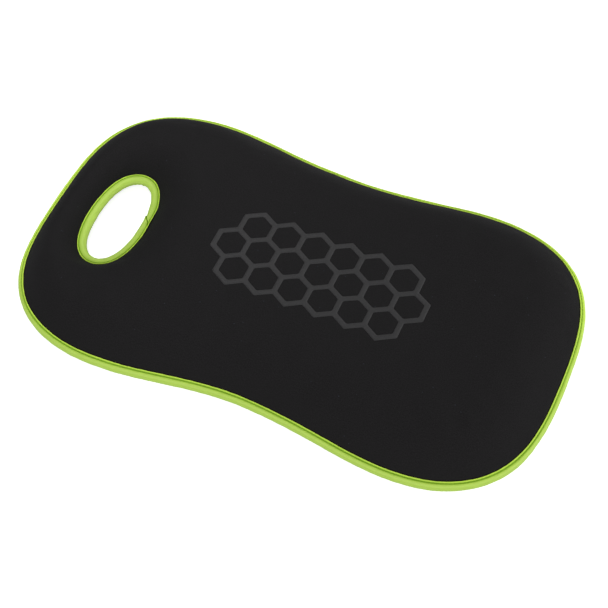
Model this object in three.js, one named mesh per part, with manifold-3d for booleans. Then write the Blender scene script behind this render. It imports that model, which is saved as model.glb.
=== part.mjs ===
// Garden kneeling pad: a soft, hourglass-shaped cushion with an oval carrying hole near one end.
//
// It is a sewn sandwich. A black neoprene top cover is stretched over two layers of foam and meets
// a flat black base cover in a thin flange, once round the outside and once round the hole. Each
// flange is closed by a lime bias tape folded over it in a C and held by one row of lockstitch: a
// needle thread on top and a bobbin thread underneath. A thin print lies on the kneeling face.
//
// Units are millimetres, +Z is up. The origin is the middle of the footprint on the ground plane,
// +X runs along the pad away from the carrying hole, +Y runs across it.

import * as THREE from 'three';
import { mergeVertices } from 'three/addons/utils/BufferGeometryUtils.js';
import Module from 'manifold-3d';

const wasm = await Module();
wasm.setup();

// ---------------------------------------------------------------- driving dimensions

// Plan outline of the finished pad, as a radius from its waist centre: the sum of
// OUTLINE[ k ] * cos( k * angle ) and OUTLINE_SINE[ k ] * sin( k * angle ). The sine terms are the
// small left-right difference of a hand-sewn edge.
const OUTLINE = [ 179.52, - 3.49, 60.36, - 1.83, - 6.23, 0.19, - 7.49, 0.41, - 1.1, 0.14, 0.26 ];
const OUTLINE_SINE = [ 0, 0.68, - 0.05, - 0.41, - 0.05, 0.18, - 0.22, 0, 0.07 ];
const OUTLINE_STATIONS = 64;         // stations round the outline
const HOLE_STATIONS = 32;            // stations round the carrying hole

const SHOULDER_INSET = 4.8;          // where the top cover leaves the tape, in from the outline
const SHOULDER_FOOT = 10.7;          // its height there
const SHOULDER_RUN = 31;             // plan width of the rounded shoulder
const SHOULDER_POWER = 2.2;          // 1 is a straight bevel, 2 a parabola
const PLATEAU = 31.6;                // height where the shoulder ends
const CROWN = 2.4;                   // further rise to the middle of the pad

const TOP_COVER = 2.0;               // neoprene thickness
const BASE_COVER = 1.8;              // base fabric thickness
const FOAM_SPLIT = 15.2;             // height of the joint between the two foams
const GAP = 0.3;                     // clearance between neighbouring layers

const HOLE_X = - 165.1;              // centre of the carrying hole
const HOLE_Y = - 0.3;
const HOLE_HALF_X = 18.8;            // half its opening along X
const HOLE_HALF_Y = 42.0;            // half its opening along Y
const HOLE_FULLNESS = 0.016;         // how far its oval fills out towards a rounded rectangle
const COLLAR_INSET = 8.0;            // where the top cover leaves the hole tape, out from the opening
const COLLAR_FOOT = 11.6;            // its height there
const COLLAR_RUN = 29;               // plan width of the rounded shoulder round the hole

const EDGE_FLANGE_INSET = 2.1;       // outer flange's edge, in from the outline
const EDGE_FLANGE_FLOOR = 3.9;       // underside of the base cover in that flange
const HOLE_FLANGE_INSET = 3.2;       // hole flange's edge, out from the opening

const THREAD = 0.5;                  // sewing thread, across
const FILM = 0.25;                   // transfer print thickness

const PRINT_X = 15.9;                // centre of the print
const CELL = 25.5;                   // pitch of its honeycomb
const CELL_LINE = 4.4;               // width of its printed lines
const CELL_ROWS = [ 6, 7, 6 ];       // cells in each row, from - Y to + Y

// ---------------------------------------------------------------- plan outline

const series = ( terms, wave, angle ) =>
	terms.reduce( ( sum, term, k ) => sum + term * wave( k * angle ), 0 );

// The outline as a three.js curve, centred along X; t = 0 is the end away from the carrying hole.
class PadOutline extends THREE.Curve {

	constructor() {

		super();
		this.shift = 0;
		const along = Array.from( { length: 721 }, ( _, i ) => this.getPoint( i / 720 ).x );
		this.shift = - ( Math.min( ...along ) + Math.max( ...along ) ) / 2;

	}

	getPoint( t, target = new THREE.Vector3() ) {

		const angle = t * Math.PI * 2;
		const radius = series( OUTLINE, Math.cos, angle ) + series( OUTLINE_SINE, Math.sin, angle );
		return target.set( radius * Math.cos( angle ) + this.shift, radius * Math.sin( angle ), 0 );

	}

}

// Evenly spaced stations round the pad, each with its inward normal.
const padOutline = new PadOutline();
const spacedPoints = padOutline.getSpacedPoints( OUTLINE_STATIONS ).slice( 0, OUTLINE_STATIONS );
const stations = spacedPoints.map( ( { x, y }, i ) => {

	const tangent = padOutline.getTangentAt( i / OUTLINE_STATIONS );
	return {
		point: new THREE.Vector2( x, y ),
		inward: new THREE.Vector2( - tangent.y, tangent.x )
	};

} );

// ---------------------------------------------------------------- geometry and solids

const toManifold = ( geometry ) => {

	const plain = geometry.index ? geometry.toNonIndexed() : geometry.clone();
	plain.deleteAttribute( 'normal' );
	plain.deleteAttribute( 'uv' );
	const merged = mergeVertices( plain, 1e-3 );
	const corners = merged.index.array;
	const triVerts = [];
	for ( let i = 0; i < corners.length; i += 3 ) {

		// Triangles that merging has collapsed are left out.
		const triangle = corners.slice( i, i + 3 );
		if ( new Set( triangle ).size === 3 ) triVerts.push( ...triangle );

	}

	return new wasm.Manifold( new wasm.Mesh( {
		numProp: 3,
		vertProperties: new Float32Array( merged.getAttribute( 'position' ).array ),
		triVerts: new Uint32Array( triVerts )
	} ) );

};

const toGeometry = ( solid ) => {

	const { vertProperties, triVerts } = solid.getMesh();
	const geometry = new THREE.BufferGeometry();
	const position = new THREE.BufferAttribute( new Float32Array( vertProperties ), 3 );
	geometry.setAttribute( 'position', position );
	geometry.setIndex( new THREE.BufferAttribute( new Uint32Array( triVerts ), 1 ) );
	geometry.computeVertexNormals();
	return geometry;

};

// A solid swept round a closed plan. Its profile is [ offset, z ], and place( station, offset )
// gives the plan point. The lathe supplies only the facets; every vertex is then moved.
const shapedLathe = ( profile, segments, place ) => {

	const geometry = new THREE.LatheGeometry(
		profile.map( ( [ , z ] ) => new THREE.Vector2( 1, z ) ),
		segments
	);
	const position = geometry.getAttribute( 'position' );
	for ( let i = 0; i <= segments; i ++ ) {

		profile.forEach( ( [ offset, z ], j ) => {

			const { x, y } = place( i % segments, offset );
			position.setXYZ( i * profile.length + j, x, y, z );

		} );

	}

	const solid = toManifold( geometry );
	if ( solid.volume() >= 0 ) return solid;

	// The profile ran the other way round, so its faces are turned over.
	const corners = geometry.index.array;
	for ( let i = 0; i < corners.length; i += 3 ) {

		[ corners[ i + 1 ], corners[ i + 2 ] ] = [ corners[ i + 2 ], corners[ i + 1 ] ];

	}

	return toManifold( geometry );

};

// A pad-shaped lathe. Its profile is [ inset from the outline, z ]. Past CORE, the excess is the
// share of the way to the middle, so MIDDLE is the pad's middle.
const CORE = SHOULDER_INSET + SHOULDER_RUN + 4;
const MIDDLE = CORE + 1;
const padLathe = ( profile ) => shapedLathe( profile, OUTLINE_STATIONS, ( station, inset ) => {

	const { point, inward } = stations[ station ];
	const share = Math.max( inset - CORE, 0 );
	return point.clone()
		.addScaledVector( inward, Math.min( inset, CORE ) )
		.lerp( new THREE.Vector2( 0, 0 ), share );

} );

// A lathe round the carrying hole. Its profile is [ distance out from the opening, z ], with
// HOLE_CENTRE as the distance for a point on the hole's axis.
const HOLE_CENTRE = null;
const holeLathe = ( profile ) => shapedLathe( profile, HOLE_STATIONS, ( station, out ) => {

	if ( out === HOLE_CENTRE ) return new THREE.Vector2( HOLE_X, HOLE_Y );
	const angle = station / HOLE_STATIONS * Math.PI * 2;
	const across = Math.cos( angle ) - HOLE_FULLNESS * Math.cos( 3 * angle );
	const along = Math.sin( angle ) + HOLE_FULLNESS * Math.sin( 3 * angle );
	return new THREE.Vector2(
		HOLE_X + ( HOLE_HALF_X + out ) * across / ( 1 - HOLE_FULLNESS ),
		HOLE_Y + ( HOLE_HALF_Y + out ) * along / ( 1 - HOLE_FULLNESS )
	);

} );

// ---------------------------------------------------------------- profiles

const COVER_STEPS = 5;               // shoulder steps on the outside of the top cover
const INNER_STEPS = 4;               // shoulder steps on the surfaces beneath it
const CUT_FLOOR = - 5;               // where cuts through the pad start, below the ground
const FUNNEL_TOP = PLATEAU + 6;      // where the hole's funnel ends, above the crown
const LOW_CUT_TOP = 12;              // where the low cuts round the hole end

const closed = ( profile ) => [ ...profile, profile[ 0 ] ];

// The rounded shoulder: from [ start, foot ] to [ start + run, top ].
const shoulder = ( start, run, foot, top, steps ) =>
	Array.from( { length: steps + 1 }, ( _, i ) => {

		const share = i / steps;
		const rise = 1 - ( 1 - share ) ** SHOULDER_POWER;
		return [ start + run * share, foot + ( top - foot ) * rise ];

	} );

// The crowned face from the shoulder to the middle, lowered by drop.
const crown = ( drop ) => [ 0, 0.45, 1 ].map( ( share ) =>
	[ CORE + share, PLATEAU + CROWN * ( 1 - ( 1 - share ) ** 2 ) - drop ] );

// The pad's upper surface, drop below the outside of the top cover.
const domeSurface = ( drop, steps ) => [
	...shoulder( SHOULDER_INSET + drop, SHOULDER_RUN, SHOULDER_FOOT, PLATEAU - drop, steps ),
	...crown( drop )
];

// The matching surface round the hole, closed off above the pad.
const funnelSurface = ( drop, steps ) => [
	...shoulder( COLLAR_INSET + drop, COLLAR_RUN, COLLAR_FOOT, PLATEAU - drop, steps ),
	[ COLLAR_INSET + drop + COLLAR_RUN, FUNNEL_TOP ],
	[ HOLE_CENTRE, FUNNEL_TOP ]
];

// What lies under the top cover, drop below its outside, down to floor. The cut for the hole goes
// down to holeFloor.
const innerBody = ( drop, floor, holeFloor ) => {

	const body = padLathe( [
		[ MIDDLE, floor ],
		[ SHOULDER_INSET + drop, floor ],
		...domeSurface( drop, INNER_STEPS )
	] );
	const funnel = holeLathe( [
		[ HOLE_CENTRE, holeFloor ],
		[ COLLAR_INSET + drop, holeFloor ],
		...funnelSurface( drop, INNER_STEPS )
	] );
	return body.subtract( funnel );

};

// ---------------------------------------------------------------- covers

// Top cover: the shell of the dome, with a flange under the outer tape and one under the hole tape.
const buildTopCover = () => {

	const edgeFloor = EDGE_FLANGE_FLOOR + BASE_COVER + GAP;
	const edgeTop = edgeFloor + TOP_COVER;
	const holeFloor = 8.8;
	const holeTop = 10.5;
	const dome = padLathe( [
		[ MIDDLE, edgeFloor ],
		[ EDGE_FLANGE_INSET, edgeFloor ],
		[ EDGE_FLANGE_INSET, edgeTop ],
		[ SHOULDER_INSET, edgeTop ],
		...domeSurface( 0, COVER_STEPS )
	] );
	const hole = holeLathe( [
		[ HOLE_CENTRE, CUT_FLOOR ],
		[ HOLE_FLANGE_INSET, CUT_FLOOR ],
		[ HOLE_FLANGE_INSET, holeTop ],
		[ COLLAR_INSET, holeTop ],
		...funnelSurface( 0, COVER_STEPS )
	] );
	const cavityFloor = edgeFloor - 2;
	return dome.subtract( hole ).subtract( innerBody( TOP_COVER, cavityFloor, holeFloor ) );

};

// Base cover: flat on the ground, turned up into a flange outside and into a collar at the hole.
const buildBaseCover = () => {

	const collarFoot = 15.7;
	const sheetHole = 15.5;          // a little smaller, so that sheet and collar overlap
	const sheet = padLathe( [
		[ MIDDLE, 0 ],
		[ CORE, 0 ],
		[ 10.5, 0 ],
		[ 8.0, 0.7 ],
		[ 6.2, EDGE_FLANGE_FLOOR ],
		[ EDGE_FLANGE_INSET, EDGE_FLANGE_FLOOR ],
		[ EDGE_FLANGE_INSET, EDGE_FLANGE_FLOOR + BASE_COVER ],
		[ 7.2, EDGE_FLANGE_FLOOR + BASE_COVER ],
		[ 9.2, 2.4 ],
		[ 11.0, BASE_COVER ],
		[ CORE, BASE_COVER ],
		[ MIDDLE, BASE_COVER ]
	] );
	const hole = holeLathe( [
		[ HOLE_CENTRE, CUT_FLOOR ],
		[ sheetHole, CUT_FLOOR ],
		[ sheetHole, LOW_CUT_TOP ],
		[ HOLE_CENTRE, LOW_CUT_TOP ]
	] );
	const collar = holeLathe( closed( [
		[ collarFoot, 0 ],
		[ 12.5, 0.8 ],
		[ 9.0, 6.8 ],
		[ HOLE_FLANGE_INSET, 6.8 ],
		[ HOLE_FLANGE_INSET, 8.4 ],
		[ 10.0, 8.4 ],
		[ 13.6, 2.5 ],
		[ collarFoot, BASE_COVER ]
	] ) );
	return sheet.subtract( hole ).add( collar );

};

// ---------------------------------------------------------------- foams

// Both foams as one body, its lower edges cut back to clear the seam flange and the collar.
const buildFoam = () => {

	const floor = BASE_COVER + GAP;
	const envelopeTop = 50;          // above the crown
	const envelope = padLathe( [
		[ MIDDLE, floor ],
		[ 12.2, floor ],
		[ 9.4, 6.2 ],
		[ 9.4, 8.5 ],
		[ 5.0, 8.5 ],
		[ 5.0, envelopeTop ],
		[ MIDDLE, envelopeTop ]
	] );
	const collarClearance = holeLathe( [
		[ HOLE_CENTRE, CUT_FLOOR ],
		[ 17.0, CUT_FLOOR ],
		[ 17.0, floor ],
		[ 14.3, 3.1 ],
		[ 10.8, 9.0 ],
		[ 10.8, LOW_CUT_TOP ],
		[ HOLE_CENTRE, LOW_CUT_TOP ]
	] );
	return innerBody( TOP_COVER + GAP, floor, CUT_FLOOR )
		.intersect( envelope )
		.subtract( collarClearance );

};

// A block wider than the pad, between two heights.
const layer = ( low, high ) => {

	const box = new THREE.BoxGeometry( 600, 400, high - low );
	box.translate( 0, 0, ( low + high ) / 2 );
	return toManifold( box );

};

const foam = buildFoam();
const baseFoam = foam.intersect( layer( - 1, FOAM_SPLIT ) );
const comfortFoam = foam.intersect( layer( FOAM_SPLIT + GAP, 60 ) );

// ---------------------------------------------------------------- tapes and threads

// Outer tape section, [ inset, z ]: a C round the joined edges, its upper lip up the wall and its
// lower lip under the pad.
const edgeBinding = padLathe( closed( [
	[ 4.5, 10.8 ], [ 2.4, 10.4 ], [ 0.8, 9.1 ], [ 0, 6.8 ],
	[ 0, 4.6 ], [ 0.7, 2.6 ], [ 2.2, 1.4 ], [ 4.9, 1.1 ],
	[ 4.9, 2.0 ], [ 2.6, 2.3 ], [ 1.5, 3.2 ], [ 0.9, 4.9 ],
	[ 0.9, 6.6 ], [ 1.6, 8.5 ], [ 2.8, 9.5 ], [ 4.5, 9.9 ]
] ) );

// Hole tape section, [ out, z ]: a flatter C, its open side away from the opening.
const handleBinding = holeLathe( closed( [
	[ 7.7, 11.7 ], [ 3.0, 11.6 ], [ 1.0, 10.8 ], [ 0, 8.7 ],
	[ 0.9, 6.6 ], [ 2.8, 5.7 ], [ 7.7, 5.6 ],
	[ 7.7, 6.5 ], [ 3.0, 6.5 ], [ 1.5, 7.2 ], [ 0.9, 8.7 ],
	[ 1.5, 10.1 ], [ 3.0, 10.8 ], [ 7.7, 10.8 ]
] ) );

// A sewing thread as a thin closed ring of square section, from its least offset and height.
const threadRing = ( lathe, offset, z ) => lathe( closed( [
	[ offset, z ],
	[ offset + THREAD, z ],
	[ offset + THREAD, z + THREAD ],
	[ offset, z + THREAD ]
] ) );

// ---------------------------------------------------------------- print

const PRINT_FLOOR = 20;              // where the print's construction solids start, inside the pad
const PRINT_DEPTH = 30;              // height of the lattice prisms

// An upright hexagonal prism with its points towards + Y and - Y; across is between its flats.
const hexPrism = ( [ x, y ], across ) => {

	const radius = across / Math.sqrt( 3 );
	const contour = Array.from( { length: 6 }, ( _, k ) => {

		const angle = Math.PI / 6 + k * Math.PI / 3;
		return new THREE.Vector2( x + radius * Math.cos( angle ), y + radius * Math.sin( angle ) );

	} );
	const geometry = new THREE.ExtrudeGeometry(
		new THREE.Shape( contour ),
		{ depth: PRINT_DEPTH, bevelEnabled: false }
	);
	geometry.translate( 0, 0, PRINT_FLOOR );
	return toManifold( geometry );

};

// Honeycomb lattice: the joined cells, then an opening in each.
const buildLattice = () => {

	const rowPitch = CELL * Math.sqrt( 3 ) / 2;
	const cells = CELL_ROWS.flatMap( ( count, row ) => Array.from( { length: count }, ( _, i ) => [
		PRINT_X + ( i - ( count - 1 ) / 2 ) * CELL,
		( row - ( CELL_ROWS.length - 1 ) / 2 ) * rowPitch
	] ) );
	const joined = cells
		.map( ( cell ) => hexPrism( cell, CELL + CELL_LINE ) )
		.reduce( ( sum, prism ) => sum.add( prism ) );
	return cells.reduce(
		( rest, cell ) => rest.subtract( hexPrism( cell, CELL - CELL_LINE ) ),
		joined
	);

};

// The film follows the crowned face, GAP above it.
const buildPrint = () => {

	const raised = ( height ) =>
		padLathe( [ [ MIDDLE, PRINT_FLOOR ], [ CORE, PRINT_FLOOR ], ...crown( - height ) ] );
	return raised( GAP + FILM ).subtract( raised( GAP ) ).intersect( buildLattice() );

};

// ---------------------------------------------------------------- materials

const matte = ( { color, roughness } ) =>
	new THREE.MeshStandardMaterial( { color, roughness, metalness: 0 } );

const neoprene = matte( { color: 0x222122, roughness: 0.9 } );
const baseFabric = matte( { color: 0x1c1c1d, roughness: 0.95 } );
const memoryFoam = matte( { color: 0xe9e4cf, roughness: 1 } );
const firmFoam = matte( { color: 0x5c6064, roughness: 1 } );
const tape = matte( { color: 0xaac95b, roughness: 0.75 } );
const thread = matte( { color: 0x8fbf2c, roughness: 0.6 } );
const ink = matte( { color: 0x343435, roughness: 0.7 } );

// ---------------------------------------------------------------- assembly

const pad = new THREE.Group();
pad.name = 'kneeling_pad';

const add = ( name, solid, material ) => {

	const mesh = new THREE.Mesh( toGeometry( solid ), material );
	mesh.name = name;
	pad.add( mesh );

};

add( 'top_cover', buildTopCover(), neoprene );
add( 'base_cover', buildBaseCover(), baseFabric );
add( 'comfort_foam', comfortFoam, memoryFoam );
add( 'base_foam', baseFoam, firmFoam );
add( 'edge_binding', edgeBinding, tape );
add( 'handle_binding', handleBinding, tape );
add( 'edge_needle_thread', threadRing( padLathe, 2.7, 10.9 ), thread );
add( 'edge_bobbin_thread', threadRing( padLathe, 3.4, 0.4 ), thread );
add( 'handle_needle_thread', threadRing( holeLathe, 5.6, 12.0 ), thread );
add( 'handle_bobbin_thread', threadRing( holeLathe, 5.6, 4.8 ), thread );
add( 'honeycomb_print', buildPrint(), ink );

export default pad;
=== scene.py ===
"""Kneeling pad with a carrying hole, its soft pieces built as fine meshes round its CAD frame.

The pad lies flat on z = 0 with its length along x and the carrying hole at its -x end. The covers
and foams come from the pad's plan curves and cross-sections, the tapes are folded strips, and the
sewing threads are shaped stitch by stitch. Lengths are millimetres and become metres when a mesh
is made; lights, camera and floor are in metres.

Two distances place things in plan: the inset, inwards from the pad's outline, and the margin,
outwards from the hole's opening.
"""

import math

import bpy
import numpy as np
from mathutils import Matrix, Vector
from mathutils.bvhtree import BVHTree
from mathutils.geometry import barycentric_transform, delaunay_2d_cdt
from mathutils.kdtree import KDTree


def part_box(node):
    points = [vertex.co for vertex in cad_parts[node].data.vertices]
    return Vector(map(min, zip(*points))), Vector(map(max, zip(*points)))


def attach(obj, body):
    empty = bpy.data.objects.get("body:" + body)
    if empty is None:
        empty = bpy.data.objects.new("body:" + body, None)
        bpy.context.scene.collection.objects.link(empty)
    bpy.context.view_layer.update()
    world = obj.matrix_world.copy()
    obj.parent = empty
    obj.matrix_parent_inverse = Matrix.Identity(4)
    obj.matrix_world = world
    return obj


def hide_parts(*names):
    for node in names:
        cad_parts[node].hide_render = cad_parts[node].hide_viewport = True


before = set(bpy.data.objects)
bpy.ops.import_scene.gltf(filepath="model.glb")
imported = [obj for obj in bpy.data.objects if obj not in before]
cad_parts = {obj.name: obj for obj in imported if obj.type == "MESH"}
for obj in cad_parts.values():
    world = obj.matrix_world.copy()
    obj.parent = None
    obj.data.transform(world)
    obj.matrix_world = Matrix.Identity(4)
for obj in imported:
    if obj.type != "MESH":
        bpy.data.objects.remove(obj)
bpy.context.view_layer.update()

TAU = 2 * math.pi


def box_mm(node):
    low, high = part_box(node)
    return np.array(low) * 1000, np.array(high) * 1000


EDGE_LO, EDGE_HI = box_mm("edge_binding")
RING_LO, RING_HI = box_mm("handle_binding")
PRINT_LO, PRINT_HI = box_mm("honeycomb_print")
_, TOP_HI = box_mm("top_cover")

# ---------------------------------------------------------------- driving dimensions, mm

# The outline's radius against polar angle: (harmonic, size) of its cosine and sine waves.
OUTLINE_COS = list(enumerate(
    [179.52, -3.49, 60.36, -1.83, -6.23, 0.19, -7.49, 0.41, -1.1, 0.14, 0.26]))
OUTLINE_SIN = list(enumerate([0, 0.68, -0.05, -0.41, -0.05, 0.18, -0.22, 0, 0.07]))
TAPE_WIDTH = 7.7                                     # plan width of the hole tape
HOLE_X, HOLE_Y = (RING_LO[0] + RING_HI[0]) / 2, (RING_LO[1] + RING_HI[1]) / 2
HOLE_A = (RING_HI[0] - RING_LO[0]) / 2 - TAPE_WIDTH  # half the opening along x
HOLE_B = (RING_HI[1] - RING_LO[1]) / 2 - TAPE_WIDTH  # half the opening along y
HOLE_FULLNESS = 0.016             # how far the oval fills out towards a rounded rectangle
CROWN = 2.4                       # how much prouder the middle stands
CROWN_HALF_X, CROWN_HALF_Y = EDGE_HI[0] - 20, 112
PLATEAU = TOP_HI[2] - CROWN       # height of the flat
SHOULDER_START, SHOULDER_RUN, SHOULDER_FOOT = 4.85, 31.0, 10.7   # slope at the outline
COLLAR_START, COLLAR_RUN, COLLAR_FOOT = 8.0, 31.0, 11.6          # slope at the hole
SHOULDER_POWER = 2.2
JOIN_POWER = 1.7                  # how the two slopes blend where they meet
FLAT_RUN = 14                     # flat included at the end of each cross-section
COVER_THICK, BASE_THICK, TAPE_THICK = 2.0, 1.75, 0.8
EDGE_STITCH, RING_STITCH = 3.5, 3.2                  # stitch lengths
THREAD_RADIUS = 0.24

RNG = np.random.default_rng(20)


# ---------------------------------------------------------------- small numeric helpers

def smoothstep(low, high, x):
    share = np.clip((np.asarray(x, float) - low) / (high - low), 0, 1)
    return share * share * (3 - 2 * share)


def bell(x, width):
    return np.exp(-(x / width) ** 2)


def wrapped(x, period):
    """The value moved by whole periods to lie within half a period of zero."""
    return np.mod(x + period / 2, period) - period / 2


def waves(xy, length, seed, count=14):
    """Smooth unit-size noise over the plane, from sine waves about one length long."""
    rng = np.random.default_rng(seed)
    x, y = xy[:, 0], xy[:, 1]
    total = np.zeros(len(xy))
    for _ in range(count):
        heading = rng.uniform(0, TAU)
        rate = TAU / (length * rng.uniform(0.7, 1.5))
        phase = rng.uniform(0, TAU)
        total += np.sin(rate * (x * math.cos(heading) + y * math.sin(heading)) + phase)
    return total / math.sqrt(count / 2)


def waves_round(arc, around, length, seed, count=10):
    """The same along a closed line whose full length is around."""
    rng = np.random.default_rng(seed)
    total = np.zeros_like(np.asarray(arc, float))
    for _ in range(count):
        cycles = max(1, round(around / (length * rng.uniform(0.6, 1.7))))
        total += np.sin(TAU * cycles * arc / around + rng.uniform(0, TAU))
    return total / math.sqrt(count / 2)


def wobble(arc, around, *parts):
    """Sum of closed-line noises, each part being (size, wave length, seed)."""
    return sum(size * waves_round(arc, around, length, seed) for size, length, seed in parts)


def arc_lengths(points):
    return np.concatenate([[0], np.cumsum(np.linalg.norm(np.diff(points, axis=0), axis=1))])


def resample(points, step):
    points = np.array(points, float)
    arc = arc_lengths(points)
    at = np.linspace(0, arc[-1], max(2, int(round(arc[-1] / step)) + 1))
    return np.stack([np.interp(at, arc, column) for column in points.T], 1)


def rounded(points, sigma, step=0.05):
    """An open cross-section with its corners eased by about sigma, ends kept."""
    line = resample(points, step)
    half = int(4 * sigma / step)
    kernel = np.exp(-0.5 * (np.arange(-half, half + 1) * step / sigma) ** 2)
    kernel /= kernel.sum()
    head = 2 * line[0] - line[1:half + 1][::-1]
    tail = 2 * line[-1] - line[-half - 1:-1][::-1]
    padded = np.concatenate([head, line, tail])
    return np.stack([np.convolve(column, kernel, "valid") for column in padded.T], 1)


# ---------------------------------------------------------------- plan curves

class Plan:
    """The pad's outline, counter-clockwise, with inward normals and arc length."""

    def __init__(self):
        angle = np.linspace(0, TAU, 16001)
        self.shift = 0.0
        x, _ = self.at(angle)[0].T
        self.shift = (EDGE_LO[0] + EDGE_HI[0]) / 2 - (x.min() + x.max()) / 2
        self.angle, self.arc = angle, arc_lengths(self.at(angle)[0])
        self.length = self.arc[-1]
        self.dense, self.dense_inward = self.at(angle[:-1:4])
        self.tree = KDTree(len(self.dense))
        for i, (x, y) in enumerate(self.dense):
            self.tree.insert((x, y, 0), i)
        self.tree.balance()

    def at(self, angle):
        """Points and inward normals at polar angles."""
        radius = (sum(size * np.cos(k * angle) for k, size in OUTLINE_COS)
                  + sum(size * np.sin(k * angle) for k, size in OUTLINE_SIN))
        slope = (sum(-k * size * np.sin(k * angle) for k, size in OUTLINE_COS)
                 + sum(k * size * np.cos(k * angle) for k, size in OUTLINE_SIN))
        cos, sin = np.cos(angle), np.sin(angle)
        tangent = np.stack([slope * cos - radius * sin, slope * sin + radius * cos], 1)
        tangent /= np.linalg.norm(tangent, axis=1)[:, None]
        points = np.stack([radius * cos + self.shift, radius * sin], 1)
        return points, np.stack([-tangent[:, 1], tangent[:, 0]], 1)

    def along(self, arc):
        return self.at(np.interp(np.mod(arc, self.length), self.arc, self.angle))

    def inset(self, xy):
        """Distance in from the outline, and the inward normal at the nearest point."""
        index = np.array([self.tree.find((x, y, 0))[1] for x, y in xy])
        nearest, inward = self.dense[index], self.dense_inward[index]
        return ((xy - nearest) * inward).sum(1), inward


class Hole:
    """The carrying hole: closed lines at a margin outside its opening, counter-clockwise."""

    def shape(self, angle):
        """The unit oval and its slope."""
        full = HOLE_FULLNESS
        cos, sin, cos3, sin3 = np.cos(angle), np.sin(angle), np.cos(3 * angle), np.sin(3 * angle)
        parts = (cos - full * cos3, sin + full * sin3,
                 -sin + 3 * full * sin3, cos + 3 * full * cos3)
        return tuple(part / (1 - full) for part in parts)

    def point(self, angle, margin):
        x, y, _, _ = self.shape(angle)
        return np.stack([HOLE_X + (HOLE_A + margin) * x, HOLE_Y + (HOLE_B + margin) * y], -1)

    def outward(self, angle, margin):
        _, _, slope_x, slope_y = self.shape(angle)
        normal = np.stack([slope_y * (HOLE_B + margin), -slope_x * (HOLE_A + margin)], -1)
        return normal / np.linalg.norm(normal, axis=-1, keepdims=True)

    def line(self, margin):
        """Angles once round the line and the arc length at each."""
        angle = np.linspace(0, TAU, 4001)
        return angle, arc_lengths(self.point(angle, margin))

    def spaced(self, count, margin):
        """Angles whose points are evenly spaced along the line."""
        angle, arc = self.line(margin)
        return np.interp(np.arange(count) * arc[-1] / count, arc, angle)

    def locate(self, xy):
        """Margin and angle of points in the plane, found on an ellipse and then on the oval."""
        x, y = xy[:, 0] - HOLE_X, xy[:, 1] - HOLE_Y
        least = -HOLE_A * 0.9
        margin = np.maximum(np.hypot(x / HOLE_A, y / HOLE_B) * 30 - 30, least)
        for _ in range(40):
            half_x, half_y = HOLE_A + margin, HOLE_B + margin
            miss = (x / half_x) ** 2 + (y / half_y) ** 2 - 1
            slope = -2 * x ** 2 / half_x ** 3 - 2 * y ** 2 / half_y ** 3
            margin = np.maximum(margin - miss / np.minimum(slope, -1e-9), least)
        angle = np.arctan2(y / (HOLE_B + margin), x / (HOLE_A + margin))
        for _ in range(10):
            unit_x, unit_y, slope_x, slope_y = self.shape(angle)
            half_x, half_y = HOLE_A + margin, HOLE_B + margin
            miss_x, miss_y = half_x * unit_x - x, half_y * unit_y - y
            slope_x, slope_y = slope_x * half_x, slope_y * half_y
            det = slope_x * unit_y - slope_y * unit_x
            det = np.where(np.abs(det) < 1e-6, -1e-6, det)
            angle = angle - np.clip((miss_x * unit_y - miss_y * unit_x) / det, -0.2, 0.2)
            change = np.clip((slope_x * miss_y - slope_y * miss_x) / det, -9, 9)
            margin = np.maximum(margin - change, least)
        return margin, angle


plan = Plan()
hole = Hole()


# ---------------------------------------------------------------- cross-sections of the cover

class Section:
    """Height of the cover's outside against distance from its edge, with length along the cloth."""

    def __init__(self, flange, start, run, foot):
        share = np.linspace(0, 1, 60)
        rise = foot + (PLATEAU - foot) * (1 - (1 - share) ** SHOULDER_POWER)
        slope = np.stack([start + run * share, rise], 1)
        points = np.concatenate([flange, slope[1:], [[start + run + FLAT_RUN, PLATEAU]]])
        sharp = rounded(points, sigma=0.3)
        soft = rounded(points, sigma=2.2)
        blend = smoothstep(start + 1.5, start + 9, sharp[:, 0])[:, None]
        line = sharp * (1 - blend) + soft * blend
        line[:, 0] = np.maximum.accumulate(line[:, 0])
        self.across, self.z = line.T
        self.arc = arc_lengths(line)
        self.end = line[-1, 0]

    def height(self, across):
        return np.interp(across, self.across, self.z)

    def slack(self, across):
        """How much more cloth than plan there is from here to the flat."""
        cloth = self.arc[-1] - np.interp(across, self.across, self.arc)
        return cloth - np.maximum(self.end - across, 0)


# The flanges run under the tapes: [distance from the edge, z].
edge_section = Section([[2.1, 8.0], [4.0, 8.0], [4.5, 8.2], [4.75, 9.2]],
                       SHOULDER_START, SHOULDER_RUN, SHOULDER_FOOT)
hole_section = Section([[3.2, 10.5], [6.9, 10.5], [7.6, 10.6], [7.85, 11.0]],
                       COLLAR_START, COLLAR_RUN, COLLAR_FOOT)


def crown(xy, inset, margin):
    """The middle stands a little prouder; nothing is added at the edges or round the hole."""
    x = np.clip(xy[:, 0] / CROWN_HALF_X, -1, 1)
    y = np.clip(xy[:, 1] / CROWN_HALF_Y, -1, 1)
    fade = (smoothstep(SHOULDER_START, SHOULDER_START + SHOULDER_RUN, inset)
            * smoothstep(COLLAR_START, COLLAR_START + COLLAR_RUN, margin))
    return CROWN * (1 - x ** 2) * (1 - y ** 2) * fade


def longer(inset, xy):
    """The shoulder runs further in at the end away from the hole."""
    stretch = 1 + 0.22 * smoothstep(90, 200, xy[:, 0])
    moved = SHOULDER_START + (inset - SHOULDER_START) / stretch
    return np.where(inset > SHOULDER_START, moved, inset)


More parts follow.
